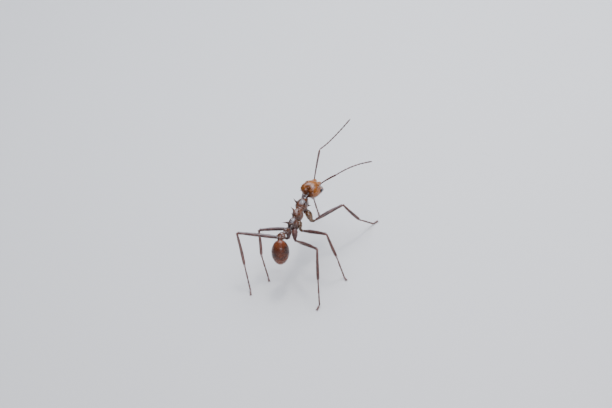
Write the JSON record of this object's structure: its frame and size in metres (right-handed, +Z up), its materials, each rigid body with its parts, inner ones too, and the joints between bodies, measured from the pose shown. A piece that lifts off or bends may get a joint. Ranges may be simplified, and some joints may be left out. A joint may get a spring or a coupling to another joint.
{
  "type": "leafcutter ant",
  "caption": "Life-size leafcutter ant worker standing on its feet, with raised head, spread feelers, spined back, narrow waist and hanging gaster.",
  "frame": {"origin": "middle of the bounding box's base, on the floor between the feet", "axes": "the head faces -Y, the left side is +X, up is +Z"},
  "size_m": [0.0096, 0.0154, 0.0088],
  "materials": {
    "head_shell": "glossy amber-brown chitin",
    "trunk_shell": "satin dark red-brown chitin",
    "gaster_shell": "glossy red-brown chitin",
    "limb_shell": "satin brown chitin",
    "jaw_shell": "glossy dark red chitin",
    "eye_shell": "glossy black"
  },
  "bodies": {
    "root": {"head": "head_shell", "eye_left": "eye_shell", "eye_right": "eye_shell", "mandible_left": "jaw_shell", "mandible_right": "jaw_shell", "scape_left": "limb_shell", "scape_right": "limb_shell", "funiculus_left": "limb_shell", "funiculus_right": "limb_shell", "pronotum": "trunk_shell", "mesonotum": "trunk_shell", "propodeum": "trunk_shell", "petiole": "trunk_shell", "postpetiole": "trunk_shell", "gaster": "gaster_shell", "coxa_fore_left": "limb_shell", "femur_fore_left": "limb_shell", "tibia_fore_left": "limb_shell", "tarsus_fore_left": "limb_shell", "coxa_fore_right": "limb_shell", "femur_fore_right": "limb_shell", "tibia_fore_right": "limb_shell", "tarsus_fore_right": "limb_shell", "coxa_middle_left": "limb_shell", "femur_middle_left": "limb_shell", "tibia_middle_left": "limb_shell", "tarsus_middle_left": "limb_shell", "coxa_middle_right": "limb_shell", "femur_middle_right": "limb_shell", "tibia_middle_right": "limb_shell", "tarsus_middle_right": "limb_shell", "coxa_hind_left": "limb_shell", "femur_hind_left": "limb_shell", "tibia_hind_left": "limb_shell", "tarsus_hind_left": "limb_shell", "coxa_hind_right": "limb_shell", "femur_hind_right": "limb_shell", "tibia_hind_right": "limb_shell", "tarsus_hind_right": "limb_shell"}
  },
  "joints": []
}
